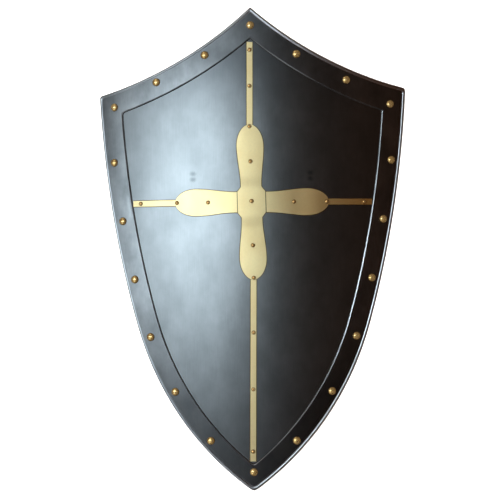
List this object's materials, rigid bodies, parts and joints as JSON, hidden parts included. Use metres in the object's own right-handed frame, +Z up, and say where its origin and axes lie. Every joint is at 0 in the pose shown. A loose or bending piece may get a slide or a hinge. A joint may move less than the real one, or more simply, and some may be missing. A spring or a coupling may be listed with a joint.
{
  "type": "heater shield",
  "caption": "Curved sheet-steel heater shield with a riveted, roll-edged border band, a lobed brass cross on straps, and a steel bar grip on the back.",
  "frame": {"origin": "centre of the bounding box in plan, on the surface that the shield lies on", "axes": "the shield lies face up: +Z is up out of its face, +Y runs from the toe to the top tip, +X to the right as seen on the face"},
  "size_m": [0.46, 0.706, 0.0757],
  "materials": {
    "steel_plate": "lengthwise brushed, lightly polished, blue-grey",
    "steel_band": "satin, a shade darker than the plate",
    "steel_bar": "plain unpolished bar, dark grey",
    "brass_sheet": "satin polished pale brass sheet",
    "brass_rivet": "polished domed brass, slightly warmer than the sheet"
  },
  "bodies": {
    "root": {"face_plate": "steel_plate", "border_band": "steel_band", "back_grip": "steel_bar", "cross_level_plate": "brass_sheet", "cross_upright_plate": "brass_sheet", "strap_top": "brass_sheet", "strap_toe": "brass_sheet", "strap_right": "brass_sheet", "strap_left": "brass_sheet", "band_rivet_01": "brass_rivet", "band_rivet_02": "brass_rivet", "band_rivet_03": "brass_rivet", "band_rivet_04": "brass_rivet", "band_rivet_05": "brass_rivet", "band_rivet_06": "brass_rivet", "band_rivet_07": "brass_rivet", "band_rivet_08": "brass_rivet", "band_rivet_09": "brass_rivet", "band_rivet_10": "brass_rivet", "band_rivet_11": "brass_rivet", "band_rivet_12": "brass_rivet", "band_rivet_13": "brass_rivet", "band_rivet_14": "brass_rivet", "band_rivet_15": "brass_rivet", "band_rivet_16": "brass_rivet", "band_rivet_17": "brass_rivet", "band_rivet_18": "brass_rivet", "band_rivet_19": "brass_rivet", "band_rivet_20": "brass_rivet", "cross_rivet_01": "brass_rivet", "cross_rivet_02": "brass_rivet", "cross_rivet_03": "brass_rivet", "cross_rivet_04": "brass_rivet", "cross_rivet_05": "brass_rivet", "cross_rivet_06": "brass_rivet", "cross_rivet_07": "brass_rivet", "cross_rivet_08": "brass_rivet", "cross_rivet_09": "brass_rivet", "cross_rivet_10": "brass_rivet", "cross_rivet_11": "brass_rivet", "cross_rivet_12": "brass_rivet", "cross_rivet_13": "brass_rivet", "cross_rivet_14": "brass_rivet", "cross_rivet_15": "brass_rivet", "cross_rivet_16": "brass_rivet"}
  },
  "joints": []
}
